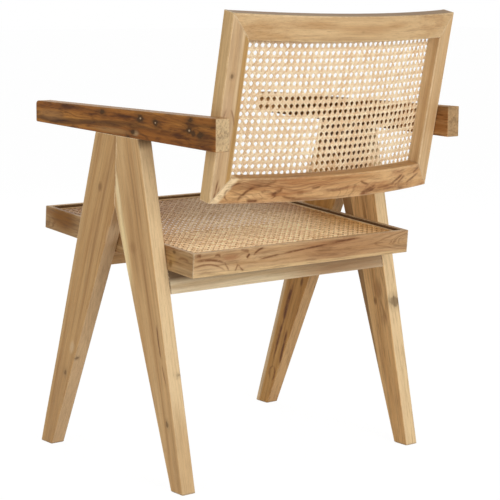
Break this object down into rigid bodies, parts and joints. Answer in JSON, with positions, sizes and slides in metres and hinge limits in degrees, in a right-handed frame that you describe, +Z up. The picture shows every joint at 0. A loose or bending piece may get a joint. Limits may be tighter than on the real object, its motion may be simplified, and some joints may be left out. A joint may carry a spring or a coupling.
{
  "type": "dining chair",
  "caption": "Wooden dining armchair with legs joined in an A shape on each side, a cane seat in a mitred frame and a bowed, reclined cane back.",
  "frame": {"origin": "on the floor, under the middle of the chair's overall box", "axes": "+Z up, -Y to the front where the sitter looks, +X to the sitter's left"},
  "size_m": [0.548, 0.5952, 0.8092],
  "materials": {
    "teak": "satin oiled",
    "dark_teak": "satin oiled",
    "cane": "natural gloss of the cane skin",
    "reed": "matt",
    "dowel_wood": "raw",
    "screw_steel": "zinc plated"
  },
  "bodies": {
    "root": {"left_front_leg": "teak", "right_front_leg": "teak", "left_rear_leg": "teak", "right_rear_leg": "teak", "front_stretcher": "teak", "rear_stretcher": "teak", "seat_front_rail": "teak", "seat_rear_rail": "teak", "seat_left_rail": "teak", "seat_right_rail": "teak", "back_left_stile": "teak", "back_right_stile": "teak", "back_top_rail": "teak", "back_bottom_rail": "teak", "left_armrest": "dark_teak", "right_armrest": "dark_teak", "seat_cane": "cane", "back_cane": "cane", "seat_front_reed": "reed", "seat_rear_reed": "reed", "seat_left_reed": "reed", "seat_right_reed": "reed", "back_top_reed": "reed", "back_bottom_reed": "reed", "back_left_reed": "reed", "back_right_reed": "reed", "armrest_dowels": "dowel_wood", "leg_pair_dowels": "dowel_wood", "stretcher_dowels": "dowel_wood", "seat_corner_dowels": "dowel_wood", "back_corner_dowels": "dowel_wood", "back_mount_dowels": "dowel_wood", "seat_screws": "screw_steel"}
  },
  "joints": []
}
